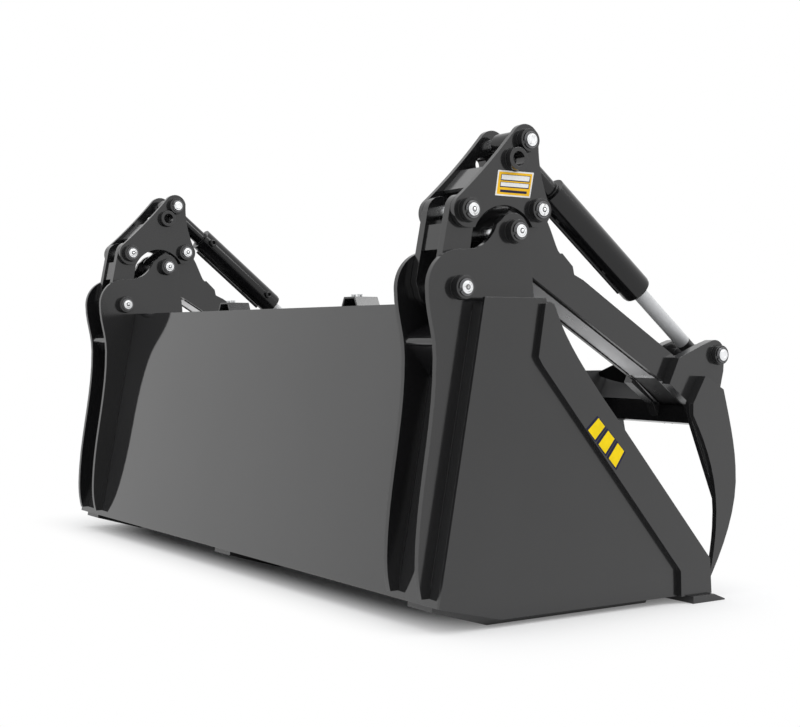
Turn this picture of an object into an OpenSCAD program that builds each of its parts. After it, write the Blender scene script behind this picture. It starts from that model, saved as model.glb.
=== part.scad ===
// Grapple bucket with two hydraulic grapples, millimetres, +X right, +Y to the cutting edge, +Z up.
// The origin lies on the ground under the bucket's middle wear bar. Side views are drawn as [y, z],
// with y from the foot of the back plate, and extruded along X. Left-hand parts mirror the right.

/* [Bucket shell] */
// Width over the two side plates
bucket_w = 2438; // [1800:1:3000]
// Distance from the back plate's foot forward to the origin
origin_y = 500; // [300:10:700]
// Height of the back plate's top edge above the ground
back_top_z = 835; // [780:1:900]
// How far the back plate leans forward between its foot and its top
back_lean = 140; // [100:1:180]
// Height of the back plate's foot above the ground
heel_z = 66; // [50:1:90]
// Depth of the sloped heel, from the back plate's foot to the flat floor
heel_depth = 194; // [150:1:240]
// Thickness of the back plate and of the floor plate
shell_t = 8; // [5:0.5:12]
// Thickness of the side plates
side_t = 10; // [6:0.5:14]
// Height of the side plates' top edge above the back plate's
side_rise = 11; // [4:1:20]
// Outward flare of the side plates in front of their bend, in degrees
side_flare = 0.9; // [0:0.1:2]
// Depth of the box lip inside the top of the back plate
lip_depth = 70; // [50:1:90]
// Height of the box lip
lip_h = 50; // [40:1:60]
// Wall of the box lip
lip_wall = 6; // [4:0.5:8]

/* [Edges and wear parts] */
// Distance from the origin to the rear of the cutting edge
edge_rear_y = 840; // [780:1:880]
// Depth of the cutting edge, rear to tip
edge_depth = 124; // [100:1:150]
// Depth of the bevel along its tip
edge_bevel = 42; // [20:1:60]
// Thickness of the cutting edge, which is also the ground clearance of the floor
edge_t = 20; // [15:0.5:25]
// How far the cutting edge reaches past each side plate
edge_overhang = 43; // [40:1:60]
// Thickness of the side edge bars
bar_t = 16; // [12:1:30]
// Width of a wear bar
wear_w = 108; // [80:1:130]
// Distance from the middle of the bucket to the middle of an outer wear bar
wear_x = 1120; // [600:1:1150]
// Length of the wear bars' flat run under the floor
wear_run = 560; // [300:1:600]
// Thickness of the wear bars where they rise under the heel
wear_heel_t = 15; // [10:0.5:20]

/* [Hose guides] */
// Distances of the guides from the middle of the bucket
guide_x = [566, -247];
// Width of a guide at its foot
guide_w = 88; // [70:1:110]
// Width of a guide at its top
guide_top_w = 60; // [40:1:68]
// Height of a guide
guide_h = 27; // [20:1:35]
// Wall of a guide
guide_wall = 5; // [3:0.5:7]
// Radius of a guide bolt's head
guide_bolt_r = 7; // [5:0.5:8]

/* [Grapple layout] */
// Distance from the side plate's outer face to the grapple's mid-plane
grapple_inset = 127.5; // [125:0.5:300]
// Thickness of the mount, triangle and arm plates
plate_t = 16; // [12:0.5:19]
// Clear width between the mount plates
frame_gap = 127; // [120:1:140]
// Side clearance between the mount or triangle plates and what turns between them
side_gap = 1.5; // [1:0.25:3]
// Link pivot on the mount plates, forward of the back plate's foot and above its top edge
link_pivot = [101, 35];
// Arm pivot on the mount plates
arm_pivot = [274, 184];
// Pin between link and triangle
link_top_pin = [125, 233];
// Pin between arm and triangle
triangle_pin = [353, 243];
// Cylinder base pin on the triangle
cylinder_pin = [313, 423];
// Spare cylinder hole on the triangle
spare_hole = [275, 372];
// Cylinder rod pin on the claw
rod_pin = [1010, -142];

/* [Pins and bosses] */
// Radius of every grapple pin
pin_r = 19; // [16:0.5:20]
// Radial running clearance of a pin in its bore
pin_fit = 0.05; // [0.02:0.01:0.1]
// How far a pin's end stands out of its boss
pin_proud = 7; // [4:1:12]
// Outer radius of the bosses
boss_r = 30; // [28:0.5:31]
// Outer radius of the bosses on the claw ears
ear_boss_r = 27; // [25:0.5:30]
// Height of the bosses on the mount plates
mount_boss_h = 26; // [18:1:30]
// Height of the bosses on the triangle plates
tri_boss_h = 20; // [14:1:28]
// Height of the bosses on the claw ears
ear_boss_h = 18; // [12:1:24]
// Gap at each cut where a pin is shared by two moving parts
pin_cut = 0.6; // [0.3:0.1:1]

/* [Link and triangle] */
// Thickness of the link plates
link_t = 25; // [19:0.5:28]
// Radius of the link plates round the link pivot on the mount
link_foot_r = 49; // [46:0.5:52]
// Radius of the link plates and triangle plates round their pins
lobe_r = 44; // [40:0.5:46]
// Thickness of the web between the link plates
web_t = 12; // [8:1:16]
// Thickness of the plate across the triangle
cross_t = 10; // [8:1:16]

/* [Arm and claw] */
// Thickness of the claw plates that carry the rod pin
claw_t = 32; // [25:1:34]
// Thickness of the plates that close the arm's top and bottom
cover_t = 8; // [6:0.5:12]
// Outside size of the square cross tube
tube_a = 60; // [50:1:70]
// Wall of the square cross tube
tube_wall = 6; // [4:0.5:8]
// Height of the brace between the inner tine and the claw plate, where it meets the claw plate
gusset_h = 112; // [70:1:125]
// Rearward lean of that brace from the vertical, in degrees
gusset_lean = 22; // [10:1:30]
// Height of the plate on the tube, under the brace, along its slope
gusset_plate_h = 90; // [70:1:95]
// Forward lean of that plate from the vertical, in degrees
gusset_plate_lean = 26; // [18:1:30]
// Distance between the outer faces of the two tines of a grapple
tine_span = 484; // [440:1:700]

/* [Cylinder] */
// Outer radius of the barrel
barrel_r = 44.5; // [42:0.5:48]
// Bore radius of the barrel
barrel_bore_r = 38; // [34:0.5:39]
// Distance from the base pin to the start of the barrel
neck_len = 188; // [150:1:210]
// Radius of the neck between base eye and barrel
neck_r = 27; // [24:0.5:30]
// Distance from the base pin to the open end of the barrel
barrel_end = 594; // [560:1:620]
// Radius of the rod
rod_r = 21; // [19:0.5:22]
// Outer radius of the cylinder's two eyes
eye_r = 30; // [28:0.5:31]
// Width of the cylinder's two eyes
eye_w = 64; // [50:1:80]
// Outer radius of a hose port
port_boss_r = 14; // [12:0.5:16]
// Upward tilt of the hose ports, which face the middle of the bucket, in degrees
port_tilt = 6; // [5:1:80]
// How far a hose port stands out of the barrel
port_h = 12; // [11:0.5:16]
// Radius of the hole in a hose port
port_r = 7; // [5:0.5:8]
// Depth of the hole in a hose port
port_depth = 9; // [6:0.5:10]
// Radius of the steel line along the barrel
line_r = 5; // [4:0.5:7]

/* [Hidden] */
$fn = 48;

black = [0.09, 0.09, 0.095];
steel = [0.75, 0.76, 0.78];
half_w = bucket_w / 2;

// Back plate: its rear face leans forward in a straight line
foot_y = 2;
lean = atan(back_lean / (back_top_z - heel_z));
back_run = shell_t / cos(lean);
function back_y(z) = foot_y + (z - heel_z) * tan(lean);
function back_front_y(z) = back_y(z) + back_run;

// Pivots as [y, z]: D link, C arm, A link and triangle, B arm and triangle, E cylinder, F spare, G rod
function above_top(p) = [p.x, back_top_z + p.y];
pivot_d = above_top(link_pivot);
pivot_c = above_top(arm_pivot);
pivot_a = above_top(link_top_pin);
pivot_b = above_top(triangle_pin);
pivot_e = above_top(cylinder_pin);
pivot_f = above_top(spare_hole);
pivot_g = above_top(rod_pin);

// Side plate and its bar
side_top_z = back_top_z + side_rise;
bend_foot = [200, edge_t];
bend_top = [309, side_top_z * 0.81];
bend_tilt = atan((bend_top.x - bend_foot.x) / (bend_top.y - bend_foot.y));
bar_top = [347, side_top_z - 27];
bar_front_y = edge_rear_y + edge_depth - edge_bevel + 5;
bar_foot_w = 116;

// Grapple: half widths measured from its mid-plane
gx = half_w - grapple_inset;
frame_in = frame_gap / 2;
frame_out = frame_in + plate_t;
arm_out = frame_in - side_gap;
arm_in = arm_out - plate_t;
claw_out = arm_out + claw_t;
tine_in = claw_out + plate_t;
tine_out = tine_in + plate_t;
inner_tine = tine_out - tine_span + plate_t;
pin_cut_x = frame_in - side_gap / 2;
ear_cut_x = arm_out - side_gap / 2;

// Cylinder axis from E to G
cyl_len = norm(pivot_g - pivot_e);
cyl_angle = atan2(pivot_g.y - pivot_e.y, pivot_g.x - pivot_e.x);

// Arm and head geometry, from the arm pivot and the rod pin
arm_bottom_rear = pivot_c + [79, -119];
arm_bottom_front = pivot_g + [-186, -74];
arm_top_rear = pivot_c + [221, -106];
arm_top_front = pivot_g + [-143, -1];
tube_tilt = 9;
tube_c = pivot_g + [-51, -172];
tine_top_rear = pivot_g + [-80, -60];

function bezier(p, n = 8) = [for (i = [0:n]) let (t = i / n, u = 1 - t)
    u * u * u * p[0] + 3 * u * u * t * p[1] + 3 * u * t * t * p[2] + t * t * t * p[3]];
function along(p, q, s) = p + s * (q - p) / norm(q - p);
function left_of(p, q, d) = d * [p.y - q.y, q.x - p.x] / norm(q - p);

// A [y, z] outline extruded from x0 to x1
module slab(x0, x1) {
    translate([x0, 0, 0]) rotate([90, 0, 90]) linear_extrude(x1 - x0) children();
}

// The same outline on both sides of a mid-plane, between two half widths
module slab_pair(x0, x1) {
    slab(x0, x1) children();
    slab(-x1, -x0) children();
}

// A round bar along X
module bar_x(p, r, x0, x1) {
    translate([x0, p.x, p.y]) rotate([0, 90, 0]) cylinder(r = r, h = x1 - x0);
}

// A disc in an outline
module disc(p, r) {
    translate(p) circle(r = r);
}

// Rings in an outline, to be extruded into bosses
module rings(points, r) {
    for (p = points) difference() {
        disc(p, r);
        disc(p, pin_r + pin_fit);
    }
}

// A shallow round cut that takes a given depth out of the edge p to q, on its left side
module bow(p, q, depth) {
    chord = norm(q - p);
    r = (chord * chord / 4 + depth * depth) / (2 * depth);
    translate((p + q) / 2 + left_of(p, q, r - depth)) circle(r = r, $fn = 96);
}

module from_foot() {
    translate([0, -origin_y, 0]) children();
}

module right_grapple() {
    from_foot() translate([gx, 0, 0]) children();
}

module left_grapple() {
    mirror([1, 0, 0]) right_grapple() children();
}

// Bucket shell

// Volume between two surfaces that follow the bent side plates, d0 and d1 outside the inner face
module bent_side(d0, d1) {
    x = half_w - side_t;
    reach = 1000;
    spread = reach * tan(side_flare);
    translate([0, bend_foot.x, bend_foot.y]) rotate([-bend_tilt, 0, 0])
        translate([0, 0, -reach / 2]) linear_extrude(2.2 * reach)
            polygon([[x + d0, -reach / 2], [x + d1, -reach / 2], [x + d1, 0],
                [x + d1 + spread, reach], [x + d0 + spread, reach], [x + d0, 0]]);
}

// Everything between the inner faces of the side plates
module inside_sides() {
    x = half_w - side_t;
    reach = 1000;
    spread = reach * tan(side_flare);
    translate([0, bend_foot.x, bend_foot.y]) rotate([-bend_tilt, 0, 0])
        translate([0, 0, -reach / 2]) linear_extrude(2.2 * reach)
            polygon([[-x, -reach / 2], [x, -reach / 2], [x, 0], [x + spread, reach],
                [-x - spread, reach], [-x, 0]]);
}

module back_plate() {
    color(black) from_foot() slab(side_t - half_w, half_w - side_t)
        polygon([[back_y(heel_z), heel_z], [back_front_y(heel_z), heel_z],
            [back_front_y(back_top_z), back_top_z], [back_y(back_top_z), back_top_z]]);
}

module floor_plate() {
    rise = shell_t / cos(atan((heel_z - edge_t) / heel_depth));
    heel_y = foot_y + heel_depth;
    color(black) from_foot() intersection() {
        slab(-half_w - edge_overhang, half_w + edge_overhang)
            polygon([[back_front_y(heel_z), heel_z], [heel_y, edge_t], [edge_rear_y + 30, edge_t],
                [edge_rear_y + 30, edge_t + shell_t], [heel_y, edge_t + shell_t],
                [back_front_y(heel_z + rise), heel_z + rise]]);
        inside_sides();
    }
}

module top_lip() {
    z0 = back_top_z - lip_h;
    front = back_front_y(back_top_z) + lip_depth;
    color(black) from_foot() slab(side_t - half_w, half_w - side_t) difference() {
        polygon([[back_front_y(z0), z0], [front, z0], [front, back_top_z],
            [back_front_y(back_top_z), back_top_z]]);
        polygon([[back_front_y(z0) + lip_wall + 2, z0 + lip_wall], [front - lip_wall, z0 + lip_wall],
            [front - lip_wall, back_top_z - lip_wall],
            [back_front_y(back_top_z) + lip_wall, back_top_z - lip_wall]]);
    }
}

// Front edge of a side bar, from its foot up to its rounded nose
function bar_front() = concat([[bar_front_y, edge_t], [bar_front_y - 6, edge_t + 99]],
    bezier([[bar_front_y - 331, 500], [bar_front_y - 404, 582], bar_top + [51, -99],
        bar_top + [18, -5]], 10),
    [bar_top + [10, 11], bar_top + [-5, 17], bar_top + [-18, 12]]);

module bar_outline() {
    polygon(concat(bar_front(), [bend_top + [-3, 7], bend_top + [11, -15],
        [bar_front_y - bar_foot_w - 2, edge_t + 72], [bar_front_y - bar_foot_w, edge_t]]));
}

module side_outline() {
    polygon([[back_y(heel_z), heel_z], [foot_y + 12, heel_z - 3], [foot_y + heel_depth, edge_t],
        [bar_front_y - 60, edge_t], [bar_front_y - 68, edge_t + 100], [bar_front_y - 360, 470],
        [bend_top.x + 140, bend_top.y - 20], [bar_top.x + 10, bar_top.y - 20],
        [bar_top.x - 5, side_top_z], [back_y(side_top_z), side_top_z]]);
}

module side_plate_right() {
    color(black) from_foot() intersection() {
        slab(half_w - 60, half_w + 60) side_outline();
        bent_side(0, side_t);
    }
}

module side_plate_left() {
    mirror([1, 0, 0]) side_plate_right();
}

module side_bar_right() {
    color(black) from_foot() intersection() {
        slab(half_w - 60, half_w + 60) bar_outline();
        bent_side(side_t, side_t + bar_t);
    }
}

module side_bar_left() {
    mirror([1, 0, 0]) side_bar_right();
}

module cutting_edge() {
    tip = edge_rear_y + edge_depth;
    color(black) from_foot() slab(-half_w - edge_overhang, half_w + edge_overhang)
        polygon([[edge_rear_y, 0], [tip, 0], [tip, 3], [tip - edge_bevel, edge_t],
            [edge_rear_y, edge_t]]);
}

module wear_bars() {
    heel_y = foot_y + heel_depth;
    rear = along([back_front_y(heel_z), heel_z], [heel_y, edge_t], 2);
    color(black) from_foot() for (x = [-wear_x, 0, wear_x]) slab(x - wear_w / 2, x + wear_w / 2)
        polygon([rear, [heel_y, edge_t], [heel_y + wear_run, edge_t],
            [heel_y + wear_run - 15, 0], [heel_y - 12, 0], rear - [2, wear_heel_t]]);
}

// A guide is a hat section whose tunnel runs front to back over the lip
module hose_guides() {
    len = lip_depth + back_run;
    a = guide_w / 2;
    b = guide_top_w / 2;
    color(black) from_foot() for (x = guide_x)
        translate([x, back_y(back_top_z) + len, back_top_z]) rotate([90, 0, 0]) linear_extrude(len)
            difference() {
                polygon([[-a, 0], [a, 0], [b, guide_h], [-b, guide_h]]);
                polygon([[guide_wall + 1 - a, -1], [a - guide_wall - 1, -1],
                    [b - guide_wall, guide_h - guide_wall], [guide_wall - b, guide_h - guide_wall]]);
            }
}

module guide_bolts() {
    color(steel) from_foot() for (x = guide_x, s = [-1, 1])
        translate([x + s * guide_top_w * 0.28, back_y(back_top_z) + 26, back_top_z + guide_h])
            cylinder(r = guide_bolt_r, h = 6);
}

// Mount plates: a leg down the back plate, a head with the two pivots, a gusset inside the bucket

function leg_z(share) = heel_z + share * (pivot_d.y - heel_z);

function leg_rear_edge() = concat(
    [[back_y(leg_z(0.025)) + 2, leg_z(0.025)]],
    bezier([[-18, leg_z(0.025)], [-30, leg_z(0.085)], [-30, leg_z(0.135)], [-24, leg_z(0.229)]], 8),
    bezier([[-24, leg_z(0.229)], [-13, leg_z(0.403)], [28, leg_z(0.59)], [27, leg_z(0.776)]], 8),
    bezier([[27, leg_z(0.776)], [27, leg_z(0.863)], pivot_d - [98, 70], pivot_d - [98, 0]], 6));

module mount_outline() {
    difference() {
        union() {
            polygon(concat(leg_rear_edge(), [pivot_d + [9, 98], pivot_d + [30, 99],
                pivot_c + [-40, 29], pivot_c + [48, 4], pivot_c + [67, -168], pivot_c + [67, -230],
                [back_front_y(600), 600], [back_front_y(back_top_z - lip_h), back_top_z - lip_h],
                [back_front_y(back_top_z) + lip_depth, back_top_z - lip_h],
                [back_front_y(back_top_z) + lip_depth, back_top_z], [back_y(back_top_z), back_top_z]]));
            disc(pivot_d, 98);
            disc(pivot_c, 49);
        }
        disc(pivot_a, 99);
        polygon([[back_y(0), 0], [back_y(back_top_z), back_top_z],
            [back_front_y(back_top_z) + lip_depth, back_top_z],
            [back_front_y(back_top_z) + lip_depth, back_top_z - lip_h],
            [back_front_y(back_top_z - lip_h), back_top_z - lip_h], [back_front_y(0), 0]]);
        for (p = [pivot_c, pivot_d]) disc(p, pin_r + pin_fit);
    }
}

module mount_plate_outer() {
    color(black) union() {
        slab(frame_in, frame_out) mount_outline();
        slab(frame_out, frame_out + mount_boss_h) rings([pivot_c, pivot_d], boss_r);
    }
}

module mount_plate_inner() {
    color(black) union() {
        slab(-frame_out, -frame_in) mount_outline();
        slab(-frame_out - mount_boss_h, -frame_out) rings([pivot_c, pivot_d], boss_r);
    }
}

// A plate folded round a nose between the mount plates, open towards the back plate
module mount_brace() {
    nose = pivot_d + [-73, -134];
    z = [pivot_d.y - 70, pivot_d.y - 86, pivot_d.y - 208, pivot_d.y - 230];
    color(black) slab(-frame_in, frame_in) difference() {
        polygon(concat([[back_y(z[0]), z[0]]],
            bezier([nose + [16, 18], nose - [6, -4], nose - [6, 8], nose + [12, -16]], 6),
            [[back_y(z[3]), z[3]]]));
        polygon(concat([[back_y(z[1]) + 1, z[1]]],
            bezier([nose + [26, 10], nose + [6, 2], nose + [6, -4], nose + [22, -10]], 6),
            [[back_y(z[2]) + 1, z[2]]]));
    }
}

module mount_pins() {
    end = frame_out + mount_boss_h + pin_proud;
    color(steel) for (p = [pivot_c, pivot_d]) bar_x(p, pin_r, -end, end);
}

// Link between D and A

link_rear = [pivot_a + [-lobe_r, 6], pivot_d + [-57, 16]];

module link_outline() {
    front = [pivot_d + [link_foot_r - 2, 14], pivot_a + [lobe_r, 4]];
    difference() {
        union() {
            polygon([pivot_d + [-38, -31], front[0], front[1], link_rear[0], link_rear[1]]);
            disc(pivot_d, link_foot_r);
            disc(pivot_a, lobe_r);
        }
        bow(front[1], front[0], 12);
        disc(pivot_a, pin_r);
        disc(pivot_d, pin_r + pin_fit);
    }
}

module link_plates() {
    color(black) slab_pair(arm_out - link_t, arm_out) link_outline();
}

module link_web() {
    top = along(link_rear[0], link_rear[1], 40);
    foot = along(link_rear[0], link_rear[1], 108);
    color(black) slab(link_t - arm_out, arm_out - link_t)
        polygon([top + [6, 0], top + [6 + web_t, 0], foot + [6 + web_t, 0], foot + [6, 0]]);
}

module link_pin() {
    end = pin_cut_x - pin_cut / 2;
    color(steel) bar_x(pivot_a, pin_r, -end, end);
}

// Triangle between A, B and the cylinder base

module triangle_outline() {
    rear = [pivot_a + left_of(pivot_a, pivot_e, lobe_r), pivot_e + left_of(pivot_a, pivot_e, lobe_r)];
    front = [pivot_e + left_of(pivot_e, pivot_b, lobe_r), pivot_b + left_of(pivot_e, pivot_b, lobe_r)];
    difference() {
        union() {
            for (p = [pivot_a, pivot_b, pivot_e]) disc(p, lobe_r);
            polygon([rear[0], rear[1], front[0], front[1], pivot_b - [0, lobe_r], pivot_a - [0, lobe_r]]);
        }
        bow(rear[0], rear[1], 5);
        bow(front[0], front[1], 12);
        disc(pivot_c + [-30, -39], 106);
        for (p = [pivot_a, pivot_b, pivot_e, pivot_f]) disc(p, pin_r + pin_fit);
    }
}

module triangle_plates() {
    color(black) union() {
        slab_pair(frame_in, frame_out) triangle_outline();
        slab_pair(frame_out, frame_out + tri_boss_h)
            rings([pivot_a, pivot_b, pivot_e, pivot_f], boss_r);
    }
}

module triangle_cross_plate() {
    inset = left_of(pivot_a, pivot_e, 26);
    back = left_of(pivot_a, pivot_e, 26 - cross_t);
    s0 = 62;
    s1 = 143;
    color(black) slab(-frame_in, frame_in)
        polygon([along(pivot_a, pivot_e, s0) + inset, along(pivot_a, pivot_e, s1) + inset,
            along(pivot_a, pivot_e, s1) + back, along(pivot_a, pivot_e, s0) + back]);
}

// The base pin whole, and the two ends of pin A that the triangle plates hold
module triangle_pins() {
    end = frame_out + tri_boss_h + pin_proud;
    start = pin_cut_x + pin_cut / 2;
    color(steel) {
        bar_x(pivot_e, pin_r, -end, end);
        bar_x(pivot_a, pin_r, start, end);
        bar_x(pivot_a, pin_r, -end, -start);
    }
}

// Arm: two side plates, a bottom and a top cover

module arm_outline() {
    difference() {
        union() {
            disc(pivot_c, 46);
            disc(pivot_b, 43);
            polygon(concat([pivot_c + [-22, -41], arm_bottom_rear, arm_bottom_front,
                tube_c + [-45, 28], tube_c + [-26, 40], tine_top_rear + [-10, 10], arm_top_front,
                arm_top_rear + [32, -14], arm_top_rear, arm_top_rear + [-5, 22]],
                bezier([arm_top_rear + [-42, 56], pivot_b + [83, -120], pivot_b + [75, -70],
                    pivot_b + [41, -14]], 6),
                [pivot_b + [-20, 38], pivot_c + [-30, 35]]));
        }
        for (p = [pivot_c, pivot_b]) disc(p, pin_r + pin_fit);
    }
}

module arm_plates() {
    color(black) slab_pair(arm_in, arm_out) arm_outline();
}

module arm_bottom_plate() {
    start = along(arm_bottom_rear, arm_bottom_front, 12);
    up = left_of(arm_bottom_rear, arm_bottom_front, cover_t);
    mid = along(arm_bottom_rear, arm_bottom_front, norm(arm_bottom_front - arm_bottom_rear) - 30);
    foot = tube_c + [-34, 27];
    color(black) slab(-arm_in, arm_in) union() {
        polygon([start, mid, mid + up, start + up]);
        polygon([mid + up, mid + 0.5 * up, foot, foot + [6, 10]]);
    }
}

module arm_top_plate() {
    start = arm_top_rear + [32, -14];
    down = -left_of(start, arm_top_front, cover_t);
    color(black) slab(-arm_in, arm_in)
        polygon([start, arm_top_front, arm_top_front + down, start + down]);
}

// Pin B and the two ends of pin G that the claw plates hold
module arm_pins() {
    end_b = frame_out + tri_boss_h + pin_proud;
    end_g = claw_out + ear_boss_h + pin_proud;
    start = ear_cut_x + pin_cut / 2;
    color(steel) {
        bar_x(pivot_b, pin_r, -end_b, end_b);
        bar_x(pivot_g, pin_r, start, end_g);
        bar_x(pivot_g, pin_r, -end_g, -start);
    }
}

// Claw head: ear plates, tines, cross tube and gusset

module tube_square(a) {
    translate(tube_c) rotate(-tube_tilt) square(a, center = true);
}

module claw_outline() {
    ear = pivot_g + [-10, 5];
    difference() {
        union() {
            disc(ear, 38);
            polygon(concat([arm_bottom_front + [-3, -7]],
                [pivot_g + [-152, -7]],
                bezier([pivot_g + [-152, -7], pivot_g + [-90, 16], pivot_g + [-62, 30], ear + [-8, 37]], 6),
                [ear + [38, -8], pivot_g + [25, -47], pivot_g + [14, -90], tube_c + [52, 6],
                    tube_c + [30, -28], tube_c + [-30, -14], tube_c + [-54, 30]]));
        }
        disc(pivot_g, pin_r + pin_fit);
        tube_square(tube_a);
    }
}

module claw_plates() {
    color(black) union() {
        slab_pair(arm_out, claw_out) claw_outline();
        slab_pair(claw_out, claw_out + ear_boss_h) rings([pivot_g], ear_boss_r);
    }
}

tine_tip = [bar_front_y + 11, edge_t + 16];

function tine_front() = concat(
    bezier([tine_tip, tine_tip + [62, 94], pivot_g + [56, -443], pivot_g + [43, -323]], 8),
    bezier([pivot_g + [43, -323], pivot_g + [39, -253], pivot_g + [14, -173], pivot_g + [-7, -99]], 6));

function tine_rear() = concat(
    bezier([pivot_g + [-128, -169], pivot_g + [-70, -263], pivot_g + [-25, -363],
        pivot_g + [-36, -496]], 8),
    bezier([pivot_g + [-36, -496], pivot_g + [-40, -543], tine_tip + [20, 44], tine_tip], 5));

// The full hook, and the doubler behind its upper half
module tine_outline() {
    polygon(concat([tine_top_rear, pivot_g + [-128, -137]], tine_rear(), tine_front()));
}

module doubler_outline() {
    difference() {
        polygon([tine_top_rear, pivot_g + [-128, -137], pivot_g + [-117, -190],
            pivot_g + [-16, -425], pivot_g + [10, -360], pivot_g + [22, -290], pivot_g + [8, -190],
            pivot_g + [-16, -98]]);
        tube_square(tube_a);
    }
}

module tine_outer() {
    color(black) union() {
        slab(claw_out, tine_in) doubler_outline();
        slab(tine_in, tine_out) tine_outline();
    }
}

module shoulder_outline() {
    polygon([tine_top_rear + [-62, 8], tine_top_rear + [28, 8], pivot_g + [-8, -98],
        tube_c + [49, 20], tube_c + [-77, 20], tine_top_rear + [-62, -70]]);
}

module tine_inner() {
    color(black) union() {
        slab(inner_tine - plate_t, inner_tine) doubler_outline();
        slab(inner_tine, inner_tine + plate_t) difference() {
            union() {
                tine_outline();
                shoulder_outline();
            }
            tube_square(tube_a);
        }
    }
}

module cross_tube() {
    color(black) slab(inner_tine - plate_t, tine_in) difference() {
        tube_square(tube_a);
        tube_square(tube_a - 2 * tube_wall);
    }
}

// A plate leaning forward on the tube, and a brace that leans back and rises to the claw plate
module head_gusset() {
    x0 = inner_tine + plate_t;
    x1 = -claw_out;
    foot = tube_c + [-27, 37];
    top = foot + gusset_plate_h * [sin(gusset_plate_lean), cos(gusset_plate_lean)];
    tip = tine_top_rear + [7, 4];
    low = -gusset_h * 0.38;
    color(black) union() {
        slab(x0, x1) polygon([foot, top, top + left_of(top, foot, cover_t), foot + left_of(top, foot, cover_t)]);
        translate([0, tip.x, tip.y]) rotate([90 + gusset_lean, 0, 0]) linear_extrude(cover_t)
            polygon(concat([[x0, 0]],
                bezier([[x0, -12], [x0 + 50, 0.62 * low], [x0 + 110, 0.9 * low], [x1, low]], 8),
                [[x1, low + gusset_h], [x0 + 60, 22], [x0, 2]]));
    }
}

// Hydraulic cylinder, drawn along its axis from the base pin

module on_cylinder() {
    translate([0, pivot_e.x, pivot_e.y]) rotate([cyl_angle - 90, 0, 0]) children();
}

module eye(z) {
    translate([-eye_w / 2, 0, z]) rotate([0, 90, 0]) cylinder(r = eye_r, h = eye_w);
}

module eye_bore(z, r) {
    translate([-eye_w, 0, z]) rotate([0, 90, 0]) cylinder(r = r, h = 2 * eye_w);
}

// The two hose ports stand on the barrel's upper inner side
module at_ports() {
    for (z = [neck_len + 34, barrel_end - 50]) translate([0, 0, z])
        rotate([0, 0, 270 + port_tilt]) rotate([90, 0, 0]) children();
}

module cylinder_barrel() {
    cap = 20;
    color(black) on_cylinder() difference() {
        union() {
            eye(0);
            cylinder(r = neck_r, h = neck_len + 5);
            translate([0, 0, neck_len]) cylinder(r = barrel_r, h = barrel_end - neck_len);
        }
        eye_bore(0, pin_r + pin_fit);
        translate([0, 0, neck_len + cap]) cylinder(r = barrel_bore_r, h = barrel_end);
    }
}

module cylinder_fittings() {
    off = barrel_r + line_r + 1;
    color(black) on_cylinder() {
        translate([0, off, neck_len + 20]) cylinder(r = line_r, h = barrel_end - neck_len - 60);
        for (z = [neck_len + 60, barrel_end - 130])
            translate([-8, barrel_r + 0.1, z]) cube([16, 4.4, 14]);
        difference() {
            at_ports() translate([0, 0, barrel_r - 8]) cylinder(r = port_boss_r, h = port_h + 8);
            cylinder(r = barrel_r, h = barrel_end);
            at_ports() translate([0, 0, barrel_r + port_h - port_depth]) cylinder(r = port_r, h = 2 * port_depth);
        }
    }
}

module cylinder_gland() {
    color(black) on_cylinder() difference() {
        union() {
            translate([0, 0, barrel_end - 40]) cylinder(r = barrel_bore_r - pin_fit, h = 40);
            translate([0, 0, barrel_end]) cylinder(r = barrel_r - 2, h = 8);
        }
        translate([0, 0, barrel_end - 50]) cylinder(r = rod_r + pin_fit, h = 70);
    }
}

module cylinder_rod() {
    start = barrel_end - 96;
    end = ear_cut_x - pin_cut / 2;
    color(steel) on_cylinder() union() {
        translate([0, 0, start]) cylinder(r = rod_r, h = cyl_len - start);
        eye(cyl_len);
        translate([-end, 0, cyl_len]) rotate([0, 90, 0]) cylinder(r = pin_r, h = 2 * end);
    }
}

module cylinder_piston() {
    color(steel) on_cylinder() difference() {
        translate([0, 0, barrel_end - 92]) cylinder(r = barrel_bore_r - pin_fit, h = 40);
        translate([0, 0, barrel_end - 100]) cylinder(r = rod_r, h = 60);
    }
}

module mount_plate_outer_right() { right_grapple() mount_plate_outer(); }
module mount_plate_inner_right() { right_grapple() mount_plate_inner(); }
module mount_brace_right() { right_grapple() mount_brace(); }
module mount_pins_right() { right_grapple() mount_pins(); }
module link_plates_right() { right_grapple() link_plates(); }
module link_web_right() { right_grapple() link_web(); }
module link_pin_right() { right_grapple() link_pin(); }
module triangle_plates_right() { right_grapple() triangle_plates(); }
module triangle_cross_plate_right() { right_grapple() triangle_cross_plate(); }
module triangle_pins_right() { right_grapple() triangle_pins(); }
module arm_plates_right() { right_grapple() arm_plates(); }
module arm_bottom_plate_right() { right_grapple() arm_bottom_plate(); }
module arm_top_plate_right() { right_grapple() arm_top_plate(); }
module arm_pins_right() { right_grapple() arm_pins(); }
module claw_plates_right() { right_grapple() claw_plates(); }
module tine_outer_right() { right_grapple() tine_outer(); }
module tine_inner_right() { right_grapple() tine_inner(); }
module cross_tube_right() { right_grapple() cross_tube(); }
module head_gusset_right() { right_grapple() head_gusset(); }
module cylinder_barrel_right() { right_grapple() cylinder_barrel(); }
module cylinder_fittings_right() { right_grapple() cylinder_fittings(); }
module cylinder_gland_right() { right_grapple() cylinder_gland(); }
module cylinder_rod_right() { right_grapple() cylinder_rod(); }
module cylinder_piston_right() { right_grapple() cylinder_piston(); }

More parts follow.
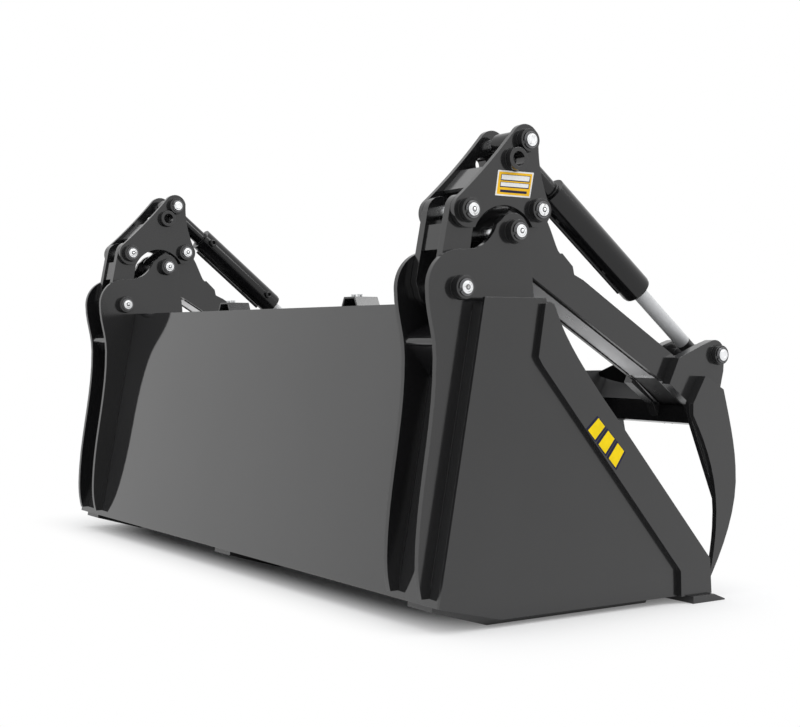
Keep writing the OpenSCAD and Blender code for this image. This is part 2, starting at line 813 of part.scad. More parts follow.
module mount_plate_outer_left() { left_grapple() mount_plate_outer(); }
module mount_plate_inner_left() { left_grapple() mount_plate_inner(); }
module mount_brace_left() { left_grapple() mount_brace(); }
module mount_pins_left() { left_grapple() mount_pins(); }
module link_plates_left() { left_grapple() link_plates(); }
module link_web_left() { left_grapple() link_web(); }
module link_pin_left() { left_grapple() link_pin(); }
module triangle_plates_left() { left_grapple() triangle_plates(); }
module triangle_cross_plate_left() { left_grapple() triangle_cross_plate(); }
module triangle_pins_left() { left_grapple() triangle_pins(); }
module arm_plates_left() { left_grapple() arm_plates(); }
module arm_bottom_plate_left() { left_grapple() arm_bottom_plate(); }
module arm_top_plate_left() { left_grapple() arm_top_plate(); }
module arm_pins_left() { left_grapple() arm_pins(); }
module claw_plates_left() { left_grapple() claw_plates(); }
module tine_outer_left() { left_grapple() tine_outer(); }
module tine_inner_left() { left_grapple() tine_inner(); }
module cross_tube_left() { left_grapple() cross_tube(); }
module head_gusset_left() { left_grapple() head_gusset(); }
module cylinder_barrel_left() { left_grapple() cylinder_barrel(); }
module cylinder_fittings_left() { left_grapple() cylinder_fittings(); }
module cylinder_gland_left() { left_grapple() cylinder_gland(); }
module cylinder_rod_left() { left_grapple() cylinder_rod(); }
module cylinder_piston_left() { left_grapple() cylinder_piston(); }

back_plate();
floor_plate();
top_lip();
side_plate_right();
side_plate_left();
side_bar_right();
side_bar_left();
cutting_edge();
wear_bars();
hose_guides();
guide_bolts();
mount_plate_outer_right();
mount_plate_inner_right();
mount_brace_right();
mount_pins_right();
link_plates_right();
link_web_right();
link_pin_right();
triangle_plates_right();
triangle_cross_plate_right();
triangle_pins_right();
arm_plates_right();
arm_bottom_plate_right();
arm_top_plate_right();
arm_pins_right();
claw_plates_right();
tine_outer_right();
tine_inner_right();
cross_tube_right();
head_gusset_right();
cylinder_barrel_right();
cylinder_fittings_right();
cylinder_gland_right();
cylinder_rod_right();
cylinder_piston_right();
mount_plate_outer_left();
mount_plate_inner_left();
mount_brace_left();
mount_pins_left();
link_plates_left();
link_web_left();
link_pin_left();
triangle_plates_left();
triangle_cross_plate_left();
triangle_pins_left();
arm_plates_left();
arm_bottom_plate_left();
arm_top_plate_left();
arm_pins_left();
claw_plates_left();
tine_outer_left();
tine_inner_left();
cross_tube_left();
head_gusset_left();
cylinder_barrel_left();
cylinder_fittings_left();
cylinder_gland_left();
cylinder_rod_left();
cylinder_piston_left();
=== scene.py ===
"""Looks of the grapple bucket: paint, steel, welds, grease fittings, plain labels, studio light and camera."""

import math

import bmesh
import bpy
from mathutils import Matrix, Vector


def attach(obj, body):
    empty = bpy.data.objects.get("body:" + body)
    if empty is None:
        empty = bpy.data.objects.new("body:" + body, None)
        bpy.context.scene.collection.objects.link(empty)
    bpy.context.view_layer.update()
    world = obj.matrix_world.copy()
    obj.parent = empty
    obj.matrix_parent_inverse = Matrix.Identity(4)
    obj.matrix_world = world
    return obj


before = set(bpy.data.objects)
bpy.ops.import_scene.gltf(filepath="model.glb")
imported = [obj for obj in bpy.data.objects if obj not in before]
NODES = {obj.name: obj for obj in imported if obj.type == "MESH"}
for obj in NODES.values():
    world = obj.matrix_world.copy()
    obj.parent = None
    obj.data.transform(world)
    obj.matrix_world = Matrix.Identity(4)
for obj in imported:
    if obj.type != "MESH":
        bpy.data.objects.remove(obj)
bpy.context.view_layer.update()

# Sizes of the CAD part that the details sit on, in millimetres, with y from the foot of the back plate
ORIGIN_Y = 500
HALF_W = 1219
MID_X = 1091.5
PIVOT = {"A": (125, 1068), "B": (353, 1078), "C": (274, 1019), "D": (101, 870), "E": (313, 1258),
         "F": (275, 1207), "G": (1010, 693)}
PIN_R = 19
PLATE_IN, PLATE_OUT = 63.5, 79.5
ARM_OUT, CLAW_OUT = 62, 94
ARM_GAP_FACE = 45.4
TUBE, TUBE_HALF, TUBE_TILT = (959, 521), 30, math.radians(-9)
MOUNT_BOSS, LINK_BOSS, CLAW_BOSS = 26, 20, 18
BOSS_R, CLAW_BOSS_R = 30.6, 27.6
PIN_PAST_BOSS, RING_PAST_BOSS = 7, 2.4
SIDE_T, SIDE_BAR_T = 10, 16
BAR_BEND_LOW, BAR_BEND_HIGH = (200, 20), (309, 685.3)
BAR_FLARE = math.radians(0.9)
# Where the painted reflection on the arm's underside ends and its painted shade begins
ARM_PAINTED_REFLECTION_TO = 815
EYE_PAINT = 58
PORTS, PORT_TILT, PORT_FACE = (222, 544), math.radians(6), 56.5
GLAND_FACE, CAP_WELD = 602, 187
GUIDE_X, GUIDE_BOLT, GUIDE_TOP = (566, -247), (16.8, 168), 868
SIDES = (("right", 1), ("left", -1))

AXIS_X = Vector((1, 0, 0))
CYL_DIR = Vector([g - e for g, e in zip(PIVOT["G"], PIVOT["E"])]).normalized()
CYL_UP = Vector((-CYL_DIR.y, CYL_DIR.x))
CYL_AXIS = Vector((0, CYL_DIR.x, CYL_DIR.y))


def place(x, y, z):
    """A point in the row frame, in metres."""
    return Vector((x / 1000, (y - ORIGIN_Y) / 1000, z / 1000))


# ---------------------------------------------------------------- materials

def node(nt, kind, attributes=None, **inputs):
    """Adds a shader node. Inputs are constants or sockets, by name (_ for a space) or as in0, in1, in2."""
    n = nt.nodes.new("ShaderNode" + kind)
    for name, value in (attributes or {}).items():
        setattr(n, name, value)
    for name, value in inputs.items():
        key = int(name[2:]) if name.startswith("in") and name[2:].isdigit() else name.replace("_", " ")
        if isinstance(value, bpy.types.NodeSocket):
            nt.links.new(value, n.inputs[key])
        else:
            n.inputs[key].default_value = value
    return n


def math_node(nt, operation, a, b, clamp=False):
    return node(nt, "Math", {"operation": operation, "use_clamp": clamp}, in0=a, in1=b).outputs["Value"]


def vector_node(nt, operation, a, b, output="Vector"):
    return node(nt, "VectorMath", {"operation": operation}, in0=a, in1=b).outputs[output]


def new_material(name):
    m = bpy.data.materials.new(name)
    m.use_nodes = True
    nt = m.node_tree
    return m, nt, nt.nodes["Principled BSDF"], node(nt, "TexCoord")


def noise(nt, coord, scale, detail=3.0, rough=0.5, stretch=None):
    vector = coord.outputs["Object"]
    if stretch:
        vector = node(nt, "Mapping", Scale=stretch, Vector=vector).outputs["Vector"]
    return node(nt, "TexNoise", Scale=scale, Detail=detail, Roughness=rough, Vector=vector).outputs["Fac"]


def ramp(nt, fac, stops):
    r = node(nt, "ValToRGB", Fac=fac)
    ends = r.color_ramp.elements
    for element, (position, colour) in ((ends[0], stops[0]), (ends[1], stops[-1])):
        element.position, element.color = position, (*colour, 1)
    for position, colour in stops[1:-1]:
        r.color_ramp.elements.new(position).color = (*colour, 1)
    return r.outputs["Color"]


def remap(nt, value, from_low, from_high, to_low=0.0, to_high=1.0):
    return node(nt, "MapRange", From_Min=from_low, From_Max=from_high, To_Min=to_low, To_Max=to_high,
                Value=value).outputs["Result"]


def spread(nt, fac, low, high):
    """Maps a noise between about 0.3 and 0.7 onto a range."""
    return remap(nt, fac, 0.3, 0.7, low, high)


def mix(nt, fac, a, b):
    m = node(nt, "Mix", {"data_type": "RGBA"}, Factor=fac)
    for socket, value in ((m.inputs["A"], a), (m.inputs["B"], b)):
        if isinstance(value, tuple):
            socket.default_value = (*value, 1)
        else:
            nt.links.new(value, socket)
    return m.outputs["Result"]


def shade(colour, share, add=0.0):
    return tuple(min(1, c * share + add) for c in colour)


def edge_mask(nt, radius, noise_fac, low=0.012, high=0.10):
    """1 along sharp edges, broken up by a noise, from how far the bevelled normal leaves the flat one."""
    bevelled = node(nt, "Bevel", {"samples": 4}, Radius=radius).outputs["Normal"]
    flat = node(nt, "NewGeometry").outputs["Normal"]
    turned = vector_node(nt, "DOT_PRODUCT", bevelled, flat, "Value")
    mask = math_node(nt, "MULTIPLY", remap(nt, turned, 1 - low, 1 - high), spread(nt, noise_fac, -0.6, 1.0), True)
    return mask, bevelled


def bump(nt, height, distance, normal=None):
    b = node(nt, "Bump", Strength=1.0, Distance=distance, Height=height)
    if normal is not None:
        nt.links.new(normal, b.inputs["Normal"])
    return b.outputs["Normal"]


def finish(nt, bsdf, base, rough, normal, metallic=None):
    nt.links.new(base, bsdf.inputs["Base Color"])
    nt.links.new(rough, bsdf.inputs["Roughness"])
    nt.links.new(normal, bsdf.inputs["Normal"])
    if metallic is not None:
        nt.links.new(metallic, bsdf.inputs["Metallic"])


WORN_EDGE = (0.16, 0.16, 0.165)


def paint(name, colour, rough=0.3, worn=0.5, peel=0.00012, radius=0.0015, ior=1.62):
    """Baked black paint: slight cloudiness, orange peel, rounded edges, thin wear along them."""
    m, nt, bsdf, co = new_material(name)
    bsdf.inputs["IOR"].default_value = ior
    clouds = noise(nt, co, 2.3, 4)
    fine = noise(nt, co, 260, 2)
    patches = noise(nt, co, 38, 5, 0.65)
    base = ramp(nt, clouds, [(0.3, shade(colour, 0.86)), (0.7, shade(colour, 1.12, 0.001))])
    mask, soft = edge_mask(nt, radius, patches)
    base = mix(nt, math_node(nt, "MULTIPLY", mask, worn), base, WORN_EDGE)
    finish(nt, bsdf, base, spread(nt, patches, rough * 0.88, rough * 1.14), bump(nt, fine, peel, soft))
    return m


def bright(name, colour, rough=0.25, stretch=(1, 1, 1), scale=120, groove=0.00006, stain=(0.35, 0.34, 0.33),
           metal=1.0, painted=None):
    """Machined or plated steel: fine tool marks along one direction and faint stains; painted past a plane."""
    m, nt, bsdf, co = new_material(name)
    bsdf.inputs["Metallic"].default_value = metal
    marks = noise(nt, co, scale, 3, 0.6, stretch)
    spots = noise(nt, co, 45, 5, 0.6)
    stained = tuple(c * s for c, s in zip(colour, stain))
    base = ramp(nt, spots, [(0.30, stained), (0.42, colour), (0.8, shade(colour, 1.06))])
    if painted:
        direction, limit = painted
        along = vector_node(nt, "DOT_PRODUCT", co.outputs["Object"], direction, "Value")
        base = mix(nt, math_node(nt, "GREATER_THAN", along, limit), base, BLACK)
    finish(nt, bsdf, base, spread(nt, marks, rough * 0.8, rough * 1.25), bump(nt, marks, groove))
    return m


def painted_light_split(name, above, below, output, axis, limit, rough=(0.26, 0.36), metal=0.0):
    """Painted light and shade: one colour above a limit of a texture coordinate and another below it, where it can be
    metallic.
    """
    m, nt, bsdf, co = new_material(name)
    bsdf.inputs["Specular IOR Level"].default_value = 0.2
    clouds = noise(nt, co, 14, 4)
    fine = noise(nt, co, 260, 2)
    cut = node(nt, "SeparateXYZ", Vector=co.outputs[output])
    past = math_node(nt, "GREATER_THAN", cut.outputs[axis], limit)
    base = ramp(nt, clouds, [(0.3, shade(below, 0.92)), (0.7, below)])
    finish(nt, bsdf, mix(nt, past, base, above), spread(nt, clouds, *rough), bump(nt, fine, 0.00006),
           remap(nt, past, 0, 1, metal, 0))
    return m


def weld_paint(name, colour):
    """Paint over a weld bead: darker, with the bead's fine ripples."""
    m, nt, bsdf, co = new_material(name)
    bsdf.inputs["Specular IOR Level"].default_value = 0.3
    ripple = noise(nt, co, 420, 3, 0.6)
    base = ramp(nt, ripple, [(0.3, shade(colour, 0.7)), (0.7, shade(colour, 1.15))])
    finish(nt, bsdf, base, spread(nt, ripple, 0.32, 0.5), bump(nt, ripple, 0.0006))
    return m


def decal(name, colour, rough=0.4):
    """Printed film, lettering paint or rubber: a little fading and fine scratches."""
    m, nt, bsdf, co = new_material(name)
    bsdf.inputs["Specular IOR Level"].default_value = 0.15
    fade = noise(nt, co, 24, 4, 0.6)
    scratch = noise(nt, co, 90, 5, 0.7, (1, 6, 0.4))
    base = ramp(nt, fade, [(0.3, shade(colour, 0.86)), (0.7, colour)])
    finish(nt, bsdf, base, spread(nt, scratch, rough * 0.8, rough * 1.3), bump(nt, scratch, 0.00005))
    return m


BLACK = (0.011, 0.011, 0.0115)
PANEL_BLACK = (0.012, 0.012, 0.0125)
DEEP_BLACK = (0.006, 0.006, 0.0065)
GLOSS_BLACK = (0.004, 0.004, 0.0045)
# Dark grey for black-painted parts, as painted light: the lighter look they take in the light
PAINTED_LIGHT_GREY = (0.07, 0.07, 0.071)
PAINT = {
    "back": paint("black_paint_back_plate", (0.017, 0.017, 0.0175), 0.05, 0.3, 0.00002, ior=1.7),
    "bucket": paint("black_paint_bucket", BLACK, 0.16, 0.5),
    "side": paint("black_paint_sides", PANEL_BLACK, 0.18, 0.5, 0.00006),
    "bar": paint("black_paint_side_bars", PANEL_BLACK, 0.16, 0.6, 0.00006),
    "edge": paint("black_paint_edge", (0.014, 0.014, 0.0145), 0.3, 0.9, 0.0002),
    "grapple": paint("black_paint_grapple", BLACK, 0.13, 0.5, 0.00006),
    "claw": paint("black_paint_claw", (0.016, 0.016, 0.0165), 0.15, 0.6, 0.00006),
    # Gusset: upward faces get a lighter grey as painted light, the other faces deep black as painted shade
    "gusset": painted_light_split("black_paint_gusset_painted_lit_top", (0.085, 0.085, 0.086), DEEP_BLACK, "Normal", "Z", 0.0, (0.4, 0.5)),
    "cylinder": paint("black_paint_cylinder", GLOSS_BLACK, 0.14, 0.4, 0.00004, ior=1.44),
    # Cross plates: dark grey base as painted light on black paint
    "web": paint("black_paint_cross_plates", PAINTED_LIGHT_GREY, 0.16, 0.5, 0.00006),
    # Arm underside: black paint given a grey metal as a painted reflection of the bright floor, and deep black past the
    # limit towards the claw as painted shade
    "under": painted_light_split("grey_arm_underside", DEEP_BLACK, (0.56, 0.56, 0.565), "Object", "Y",
                      (ARM_PAINTED_REFLECTION_TO - ORIGIN_Y) / 1000, metal=1.0),
    "weld": weld_paint("painted_weld", DEEP_BLACK),
    # Inner tine: dark grey base with weak reflection as painted light on black paint
    "inner": paint("black_paint_inner_tine", PAINTED_LIGHT_GREY, 0.4, 0.5, 0.00006, ior=1.25),
    "tube": paint("black_paint_tube", GLOSS_BLACK, 0.2, 0.4, 0.00006, ior=1.3),
}
PIN = bright("pin_steel", (0.86, 0.87, 0.88), 0.24, scale=160)
# The rod is bare up to its eye, which is painted
ROD_PAINTED = (tuple(CYL_AXIS), place(0, *PIVOT["G"]).dot(CYL_AXIS) - EYE_PAINT / 1000)
ROD = bright("rod_chrome", (0.5, 0.505, 0.51), 0.4, (6, 0.5, 0.5), 90, 0.00001, (0.94, 0.94, 0.94), 0.0, ROD_PAINTED)
BOLT = bright("zinc_steel", (0.60, 0.61, 0.62), 0.34, scale=140)
DARK = bright("oiled_steel", (0.16, 0.16, 0.165), 0.3, scale=140)
YELLOW = decal("yellow_marking", (0.93, 0.68, 0.004))
AMBER = decal("amber_film", (0.93, 0.53, 0.02))
NAVY = decal("dark_outline", (0.010, 0.012, 0.05))
WHITE = decal("white_film", (0.85, 0.85, 0.83))
SEAL = decal("seal_rubber", (0.015, 0.015, 0.016), 0.6)

BY_NODE = {
    "back_plate": "back", "floor_plate": "bucket", "top_lip": "bucket", "side_plate": "side", "side_bar": "bar",
    "cutting_edge": "edge", "wear_bars": "edge", "hose_guides": "grapple", "guide_bolts": BOLT,
    "mount_plate_outer": "grapple", "mount_plate_inner": "grapple", "mount_brace": "grapple", "mount_pins": PIN,
    "link_plates": "grapple", "link_web": "grapple", "link_pin": PIN, "triangle_plates": "grapple",
    "triangle_cross_plate": "web", "triangle_pins": PIN, "arm_plates": "grapple", "arm_bottom_plate": "under",
    "arm_top_plate": "grapple", "arm_pins": PIN, "claw_plates": "claw", "tine_outer": "claw", "tine_inner": "inner",
    "cross_tube": "tube", "head_gusset": "gusset", "cylinder_barrel": "cylinder", "cylinder_fittings": "cylinder",
    "cylinder_gland": "cylinder", "cylinder_rod": ROD, "cylinder_piston": PIN,
}
for name, obj in NODES.items():
    kind = BY_NODE[name.removesuffix("_right").removesuffix("_left")]
    obj.data.materials.clear()
    obj.data.materials.append(PAINT[kind] if isinstance(kind, str) else kind)


# ---------------------------------------------------------------- small pieces

def add(name, bm, material, body, smooth=True):
    me = bpy.data.meshes.new(name)
    bm.normal_update()
    bm.to_mesh(me)
    bm.free()
    me.materials.append(material)
    if smooth:
        me.shade_smooth()
        me.set_sharp_from_angle(angle=math.radians(35))
    ob = bpy.data.objects.new(name, me)
    bpy.context.scene.collection.objects.link(ob)
    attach(ob, body)
    return ob


def circle(count):
    return [2 * math.pi * i / count for i in range(count)]


def lathe(bm, centre, axis, profile, segments=32):
    """Turns a profile of (radius, height) in millimetres about axis at centre, into a ring or a closed knob."""
    axis = axis.normalized()
    side = axis.orthogonal().normalized()
    up = axis.cross(side)
    rings = []
    for r, h in profile:
        c = centre + axis * (h / 1000)
        if r <= 0:
            rings.append([bm.verts.new(c)])
        else:
            rings.append([bm.verts.new(c + (side * math.cos(a) + up * math.sin(a)) * (r / 1000))
                          for a in circle(segments)])
    if len(rings[0]) > 1 and len(rings[-1]) > 1:
        rings.append(rings[0])
    elif len(rings[0]) > 1:
        bm.faces.new(rings[0])
    for p, q in zip(rings, rings[1:]):
        for i in range(segments):
            j = (i + 1) % segments
            if len(q) == 1:
                bm.faces.new((p[i], q[0], p[j]))
            else:
                bm.faces.new((p[i], q[i], q[j], p[j]))
    bmesh.ops.recalc_face_normals(bm, faces=bm.faces)


def bead(bm, points, radius, wobble=0.12, phase=0.0):
    """A weld bead: a rippled round seam along a path of points."""
    step, sides, leaning = 6.0, 8, Vector((0.31, 0.17, 0.93))
    path = []
    for a, b in zip(points, points[1:]):
        n = max(1, int((b - a).length * 1000 / step))
        path += [a.lerp(b, i / n) for i in range(n)]
    path.append(points[-1])
    rings = []
    for i, p in enumerate(path):
        d = (path[min(i + 1, len(path) - 1)] - path[max(i - 1, 0)]).normalized()
        side = d.cross(leaning).normalized()
        up = d.cross(side)
        ripple = math.sin(i * 2.1 + phase) + 0.5 * math.sin(i * 0.77 + 2 * phase)
        r = radius / 1000 * (1 + wobble * ripple)
        if i in (0, len(path) - 1):
            r *= 0.55
        rings.append([bm.verts.new(p + (side * math.cos(a) + up * math.sin(a)) * r) for a in circle(sides)])
    for p, q in zip(rings, rings[1:]):
        for k in range(sides):
            bm.faces.new((p[k], p[(k + 1) % sides], q[(k + 1) % sides], q[k]))
    bm.faces.new(rings[0])
    bm.faces.new(list(reversed(rings[-1])))


def ring_bead(bm, x, yz, r, radius, phase=0.0):
    turn = circle(36)
    points = [place(x, yz[0] + r * math.cos(a), yz[1] + r * math.sin(a)) for a in turn + [2 * math.pi]]
    bead(bm, points, radius, phase=phase)


def slab_piece(bm, corners, x0, x1):
    """A flat piece with a [y, z] outline between two x planes, all in millimetres."""
    a = [bm.verts.new(place(x0, y, z)) for y, z in corners]
    b = [bm.verts.new(place(x1, y, z)) for y, z in corners]
    n = len(corners)
    bm.faces.new(list(reversed(a)))
    bm.faces.new(b)
    for i in range(n):
        j = (i + 1) % n
        bm.faces.new((a[i], a[j], b[j], b[i]))
    bmesh.ops.recalc_face_normals(bm, faces=bm.faces)


def quad(p00, p10, p11, p01, u0, u1, v0, v1):
    """Part of a four-cornered patch, by its two shares."""
    def at(u, v):
        top = [a + (b - a) * u for a, b in zip(p00, p10)]
        low = [a + (b - a) * u for a, b in zip(p01, p11)]
        return tuple(t + (w - t) * v for t, w in zip(top, low))
    return [at(u0, v0), at(u1, v0), at(u1, v1), at(u0, v1)]


def pin_end(name, way, x, yz, body, greased):
    """The turned cap, painted rim, painted shade in the cap's recess and grease fitting on a pin's end, which faces way
    along x.
    """
    c, axis, r = place(x, *yz), AXIS_X * way, PIN_R
    parts = [("rim", 0, PAINT["weld"], 40, [(r - 0.1, -0.5), (r - 0.1, 0.25), (r - 2.0, 0.45), (r - 2.2, -0.5)]),
             ("cap", 0, PIN, 32, [(r - 6, -1.0), (r - 6, 1.2), (r - 7.5, 2.4), (r - 12, 2.4), (r - 12.6, 1.4),
                                  (0, 1.4)])]
    if greased:
        # A deep-black disc in the cap's recess: painted shade round the grease fitting
        parts += [("shaded_well", 0, PAINT["weld"], 24, [(r - 12.2, 1.0), (r - 12.2, 1.9), (0, 1.9)]),
                  ("grease_fitting", 1.4, PIN, 16, [(4.0, -0.6), (4.0, 0.8), (2.8, 1.4), (2.8, 1.9), (3.3, 2.3),
                                                    (3.3, 2.8), (2.2, 3.3), (0, 3.4)])]
    for word, out, material, segments, profile in parts:
        bm = bmesh.new()
        lathe(bm, c + axis * (out / 1000), axis, profile, segments)
        add("%s_%s" % (name, word), bm, material, body)


def snap_ring(name, x, yz, body):
    """An open ring in its groove where a pin leaves its boss."""
    bm = bmesh.new()
    c = place(x, *yz)
    inner, outer, half = (PIN_R + 0.2) / 1000, (PIN_R + 3.6) / 1000, 0.0011
    section = ((inner, -half), (outer, -half), (outer, half), (inner, half))
    steps, gap, gap_at = 30, math.radians(22), math.radians(200)
    rows = []
    for i in range(steps + 1):
        a = gap_at + gap / 2 + (2 * math.pi - gap) * i / steps
        d = Vector((0, math.cos(a), math.sin(a)))
        rows.append([bm.verts.new(c + d * q + AXIS_X * h) for q, h in section])
    for p, q in zip(rows, rows[1:]):
        for k in range(4):
            bm.faces.new((p[k], p[(k + 1) % 4], q[(k + 1) % 4], q[k]))
    bm.faces.new(rows[0])
    bm.faces.new(list(reversed(rows[-1])))
    bmesh.ops.recalc_face_normals(bm, faces=bm.faces)
    add(name, bm, DARK, body, smooth=False)


def back_y(z):
    """The leaning back plate's face at height z."""
    return 2 + (z - 66) * 140 / 769


def on_cylinder(sx, x, along, up):
    """A point by its distance along the cylinder from the base pin, above its axis, and beside it."""
    y, z = (e + d * along + u * up for e, d, u in zip(PIVOT["E"], CYL_DIR, CYL_UP))
    return place(sx * MID_X + x, y, z)


for side, sx in SIDES:
    mid = sx * MID_X
    arm, tri, barrel = "arm_" + side, "triangle_" + side, "barrel_" + side
    # Pin ends and their rings
    for out, word in ((1, "outer"), (-1, "inner")):
        face = out * sx
        for key, boss, body in (("C", PLATE_OUT + MOUNT_BOSS, "bucket"), ("D", PLATE_OUT + MOUNT_BOSS, "bucket"),
                                ("A", PLATE_OUT + LINK_BOSS, tri), ("B", PLATE_OUT + LINK_BOSS, arm),
                                ("E", PLATE_OUT + LINK_BOSS, tri), ("G", CLAW_OUT + CLAW_BOSS, arm)):
            label = "%s_%s_%s" % (key, side, word)
            pin_end("pin_" + label, face, mid + face * (boss + PIN_PAST_BOSS), PIVOT[key], body, key not in "EG")
            snap_ring("ring_" + label, mid + face * (boss + RING_PAST_BOSS), PIVOT[key], body)
    # Boss welds
    for bosses, body, base in (("CD", "bucket", PLATE_OUT), ("AEF", tri, PLATE_OUT), ("B", tri, PLATE_OUT),
                               ("G", arm, CLAW_OUT)):
        bm = bmesh.new()
        for k, key in enumerate(bosses):
            for face in (1, -1):
                ring_bead(bm, mid + face * (base + 0.6), PIVOT[key], CLAW_BOSS_R if key == "G" else BOSS_R, 2.0, k)
        add("boss_welds_%s_%s" % (bosses, side), bm, PAINT["weld"], body)
    # Seams of the mount legs on the back plate
    bm = bmesh.new()
    for x in (PLATE_IN, PLATE_OUT):
        for face in (1, -1):
            bead(bm, [place(mid + face * x, back_y(z) - 0.5, z) for z in (112, 812)], 1.8, 0.06)
    add("mount_leg_welds_" + side, bm, PAINT["weld"], "bucket")
    # Seams of the arm covers and of the cross tube
    bm = bmesh.new()
    for face in (1, -1):
        for ends in (((364, 893), (796, 636)), ((531, 897), (862, 696))):
            bead(bm, [place(mid + face * ARM_GAP_FACE, *end) for end in ends], 2.4)
    for x in (-CLAW_OUT, ARM_OUT, -ARM_OUT, CLAW_OUT):
        points = []
        for dy, dz in ((-1, 1), (1, 1), (1, -1)):
            dy, dz = dy * TUBE_HALF * 1.03, dz * TUBE_HALF * 1.03
            points.append(place(mid + sx * x, TUBE[0] + dy * math.cos(TUBE_TILT) - dz * math.sin(TUBE_TILT),
                                TUBE[1] + dy * math.sin(TUBE_TILT) + dz * math.cos(TUBE_TILT)))
        bead(bm, points, 2.6, phase=x)
    add("arm_welds_" + side, bm, PAINT["weld"], arm)
    # Seat rings round the hose ports
    for k, along in enumerate(PORTS):
        across, rise = math.cos(PORT_TILT), math.sin(PORT_TILT)
        way = Vector((-sx * across, CYL_UP.x * rise, CYL_UP.y * rise))
        bm = bmesh.new()
        lathe(bm, on_cylinder(sx, -sx * across * PORT_FACE, along, rise * PORT_FACE), way,
              [(7.6, -0.3), (7.6, 0.8), (8.4, 1.2), (11.2, 1.2), (12, 0.7), (12, -0.3)])
        add("port_seat_%s_%d" % (side, k), bm, PAINT["cylinder"], barrel)
    # Seal ring in the gland's face and the weld of the barrel's cap
    bm = bmesh.new()
    lathe(bm, on_cylinder(sx, 0, GLAND_FACE, 0), CYL_AXIS,
          [(27, -0.4), (27, 1.4), (26, 2.2), (21.6, 2.2), (21.3, 0.4)], 40)
    add("rod_seal_" + side, bm, SEAL, barrel)
    bm = bmesh.new()
    turn = circle(40) + [2 * math.pi]
    bead(bm, [on_cylinder(sx, 27.5 * math.cos(a), CAP_WELD, 27.5 * math.sin(a)) for a in turn], 3.0)
    add("barrel_weld_" + side, bm, PAINT["weld"], barrel)

# Yellow bars on the side edge bars, where the real ones carry a maker's lettering
BAR_PATCH = ((469, 499), (505, 530), (599, 434), (569, 391))
BAR_BEND = (BAR_BEND_HIGH[0] - BAR_BEND_LOW[0]) / (BAR_BEND_HIGH[1] - BAR_BEND_LOW[1])
FLARE_RISE = math.cos(math.atan2(109, 665)) * math.tan(BAR_FLARE)
for side, sx in SIDES:
    for k in range(3):
        v0, v1 = 0.02 + k * 0.36, 0.26 + k * 0.36
        for word, grow, height, material in (("outline", 0.045, 0.5, NAVY), ("bar", 0.0, 0.9, YELLOW)):
            bm = bmesh.new()
            slab_piece(bm, quad(*BAR_PATCH, -grow, 1 + grow, v0 - grow, v1 + grow), 0, height)
            ob = add("side_marking_%s_%d_%s" % (word, k, side), bm, material, "bucket", smooth=False)
            # Laid on the flared outer face of the bar
            for v in ob.data.vertices:
                y, z = v.co.y * 1000 + ORIGIN_Y, v.co.z * 1000
                bend = BAR_BEND_LOW[0] + (z - BAR_BEND_LOW[1]) * BAR_BEND
                out = HALF_W + SIDE_BAR_T + max(0, y - bend) * FLARE_RISE
                v.co.x = sx * (out / 1000 + v.co.x + 0.0002)

# Bordered plain label on the triangle plates
LABEL = ((222, 1176), (340, 1176), (327, 1109), (212, 1110))
LABEL_LAYERS = (("edge", (0, 1, 0, 1), 0.25, WHITE), ("field", (0.035, 0.965, 0.06, 0.94), 0.45, AMBER),
                ("shade_a", (0.10, 0.92, 0.15, 0.40), 0.65, NAVY), ("stripe_a", (0.115, 0.90, 0.17, 0.36), 0.85, WHITE),
                ("shade_b", (0.10, 0.92, 0.45, 0.66), 0.65, NAVY), ("stripe_b", (0.115, 0.90, 0.47, 0.62), 0.85, WHITE),
                ("line", (0.12, 0.88, 0.76, 0.86), 0.65, NAVY))
for side, sx in SIDES:
    x = sx * (MID_X + PLATE_OUT)
    for word, shares, height, material in LABEL_LAYERS:
        bm = bmesh.new()
        slab_piece(bm, quad(*LABEL, *shares), x, x + sx * height)
        add("label_%s_%s" % (word, side), bm, material, "triangle_" + side, smooth=False)

# Heads of the hose guide bolts
bm = bmesh.new()
for guide_x in GUIDE_X:
    for s in (-1, 1):
        lathe(bm, place(guide_x + s * GUIDE_BOLT[0], GUIDE_BOLT[1], GUIDE_TOP), Vector((0, 0, 1)),
              [(8.4, -0.1), (8.4, 1.0), (7.4, 1.4), (0, 1.4)], 6)
add("guide_bolt_heads", bm, BOLT, "bucket", smooth=False)

# Long seams inside the bucket, welded in stitches along the back plate and the floor
bm = bmesh.new()
for _, sx in SIDES:
    x = sx * (HALF_W - SIDE_T)
    for k in range(10):
        z0, y0 = 90 + k * 72, 210 + k * 62
        bead(bm, [place(x, back_y(z) + 9.5, z) for z in (z0, z0 + 46)], 2.6, phase=k)
        bead(bm, [place(x - sx * 0.5, y, 28.6) for y in (y0, y0 + 42)], 2.4, phase=k)
add("bucket_seams", bm, PAINT["weld"], "bucket")


# ---------------------------------------------------------------- studio

def soft_light(name, loc, target, size, power):
    data = bpy.data.lights.new(name, "AREA")
    data.energy = power
    data.shape = "RECTANGLE"
    data.size, data.size_y = size
    ob = bpy.data.objects.new(name, data)
    ob.location = loc
    ob.rotation_euler = (Vector(target) - Vector(loc)).to_track_quat("-Z", "Y").to_euler()
    bpy.context.scene.collection.objects.link(ob)


def mix_shader(nt, fac, a, b, output):
    m = node(nt, "MixShader", Fac=fac, in1=a, in2=b)
    nt.links.new(m.outputs["Shader"], nt.nodes[output].inputs["Surface"])


soft_light("key", (5.5, 4.5, 5.5), (0, 0, 0.5), (4, 4), 260)
soft_light("sky", (0.5, 0.0, 6.5), (0, 0, 0), (7, 5), 240)

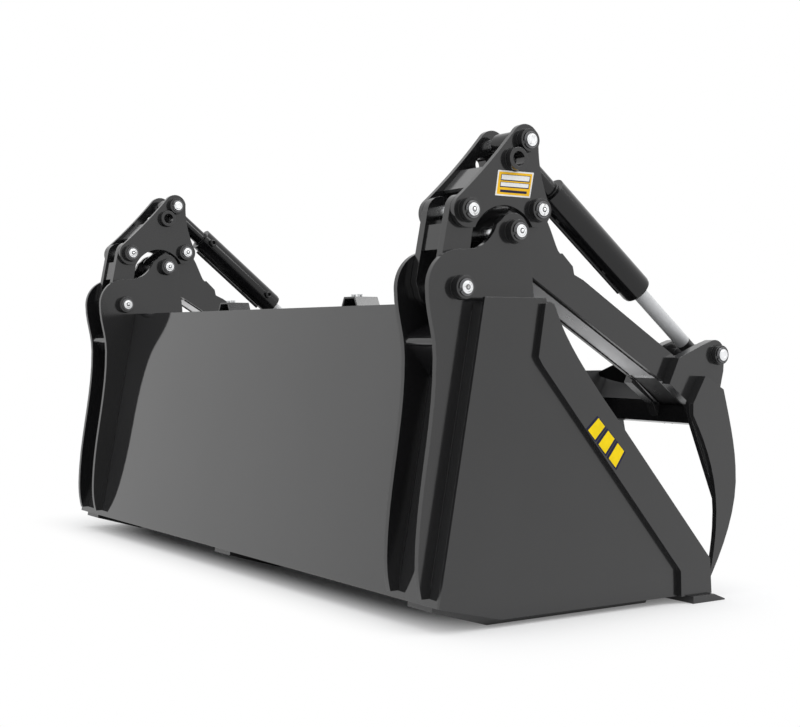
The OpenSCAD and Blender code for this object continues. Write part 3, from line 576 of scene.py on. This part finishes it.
world = bpy.data.worlds.new("studio")
bpy.context.scene.world = world
world.use_nodes = True
nt = world.node_tree
dim = nt.nodes["Background"]
dim.inputs["Color"].default_value = (0.97, 0.98, 1.0, 1)
dim.inputs["Strength"].default_value = 0.62
white = node(nt, "Background", Color=(1, 1, 1, 1), Strength=1.0)
ray = node(nt, "LightPath").outputs
seen = math_node(nt, "MAXIMUM", ray["Is Camera Ray"], ray["Is Glossy Ray"])
seen = math_node(nt, "MAXIMUM", seen, ray["Is Transmission Ray"])
mix_shader(nt, seen, dim.outputs["Background"], white.outputs["Background"], "World Output")

# Floor: pale and shadowed under the part, fading into the white background round it. The fade follows a
# rounded oblong: the eighth root of the sum of the eighth powers of x and y, each as a share of the half size.
FLOOR_MID_Y, FLOOR_HALF = 0.08, (1.3, 0.57)
FADE_FROM, FADE_TO = 0.75, 1.32
SQUARINGS = 3
bm = bmesh.new()
bmesh.ops.create_grid(bm, x_segments=2, y_segments=2, size=60)
me = bpy.data.meshes.new("floor")
bm.to_mesh(me)
bm.free()
floor = bpy.data.objects.new("floor", me)
bpy.context.scene.collection.objects.link(floor)
floor.location.z = -0.0005
material, nt, bsdf, co = new_material("studio_floor")
bsdf.inputs["Base Color"].default_value = (0.86, 0.86, 0.86, 1)
bsdf.inputs["Roughness"].default_value = 0.7
bsdf.inputs["Specular IOR Level"].default_value = 0.2
power = node(nt, "Mapping", Location=(0, -FLOOR_MID_Y / FLOOR_HALF[1], 0),
             Scale=(1 / FLOOR_HALF[0], 1 / FLOOR_HALF[1], 0), Vector=co.outputs["Object"]).outputs["Vector"]
for _ in range(SQUARINGS):
    power = vector_node(nt, "MULTIPLY", power, power)
total = vector_node(nt, "DOT_PRODUCT", power, (1, 1, 0), "Value")
reach = math_node(nt, "POWER", total, 0.5 ** SQUARINGS)
fade = node(nt, "MapRange", {"interpolation_type": "SMOOTHSTEP"}, From_Min=FADE_FROM, From_Max=FADE_TO, Value=reach)
glow = node(nt, "Emission", Color=(1, 1, 1, 1), Strength=1.0)
ray = node(nt, "LightPath").outputs
seen = math_node(nt, "MAXIMUM", ray["Is Camera Ray"], ray["Is Glossy Ray"])
mix_shader(nt, math_node(nt, "MULTIPLY", fade.outputs["Result"], seen), bsdf.outputs["BSDF"],
           glow.outputs["Emission"], "Material Output")
me.materials.append(material)

# Camera at the photograph's place
CAMERA_AT = (4.0496, -2.4969, 0.7405)
theta, pitch = math.radians(33.622), math.radians(1.028)
cam = bpy.data.cameras.new("camera")
cam.sensor_fit = "HORIZONTAL"
cam.sensor_width = 36
cam.lens = 63.0
cam.clip_end = 200
camera = bpy.data.objects.new("camera", cam)
forward = Vector((-math.cos(theta) * math.cos(pitch), math.sin(theta) * math.cos(pitch), -math.sin(pitch)))
right = Vector((math.sin(theta), math.cos(theta), 0))
turn = Matrix((right, right.cross(forward), -forward)).transposed().to_4x4()
camera.matrix_world = Matrix.Translation(Vector(CAMERA_AT)) @ turn
bpy.context.scene.collection.objects.link(camera)
bpy.context.scene.camera = camera
bpy.context.scene.view_settings.view_transform = "Standard"
